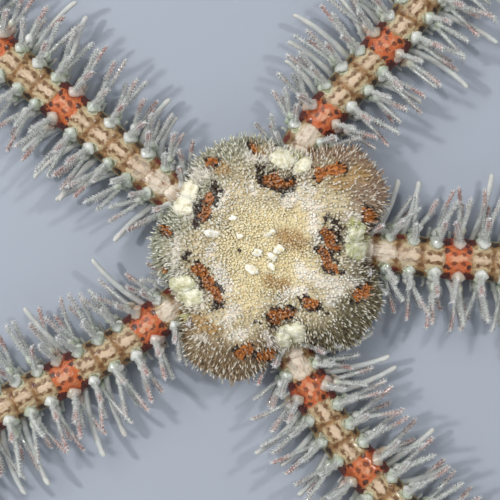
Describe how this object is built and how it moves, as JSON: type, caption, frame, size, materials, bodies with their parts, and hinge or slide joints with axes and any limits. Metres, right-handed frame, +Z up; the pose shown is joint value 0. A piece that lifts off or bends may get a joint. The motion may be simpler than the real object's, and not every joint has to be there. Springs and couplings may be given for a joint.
{
  "type": "brittle star",
  "caption": "Life-size still model of a thorny brittle star, seen from above with its arms spread, a puffed spiny disc and long arms fringed with glassy spines.",
  "frame": {"origin": "middle of the animal's box at floor level, where its underside rests", "axes": "+Z up out of the animal's back, +X to the right and +Y to the top of the picture that looks straight down on it"},
  "size_m": [0.1556, 0.13, 0.0066],
  "materials": {
    "disc_skin": "bumpy sandy skin",
    "arm_skin": "banded plates with glassy spines",
    "jaw_plate": "smooth cream plate"
  },
  "bodies": {
    "root": {"arm_1_base": "arm_skin", "arm_1_inner": "arm_skin", "arm_1_outer": "arm_skin", "arm_1_tip": "arm_skin", "arm_2_base": "arm_skin", "arm_2_inner": "arm_skin", "arm_2_outer": "arm_skin", "arm_2_tip": "arm_skin", "arm_3_base": "arm_skin", "arm_3_inner": "arm_skin", "arm_3_outer": "arm_skin", "arm_3_tip": "arm_skin", "arm_4_base": "arm_skin", "arm_4_inner": "arm_skin", "arm_4_outer": "arm_skin", "arm_4_tip": "arm_skin", "arm_5_base": "arm_skin", "arm_5_inner": "arm_skin", "arm_5_outer": "arm_skin", "arm_5_tip": "arm_skin", "disc": "disc_skin", "jaw_1": "jaw_plate", "jaw_2": "jaw_plate", "jaw_3": "jaw_plate", "jaw_4": "jaw_plate", "jaw_5": "jaw_plate"}
  },
  "joints": []
}
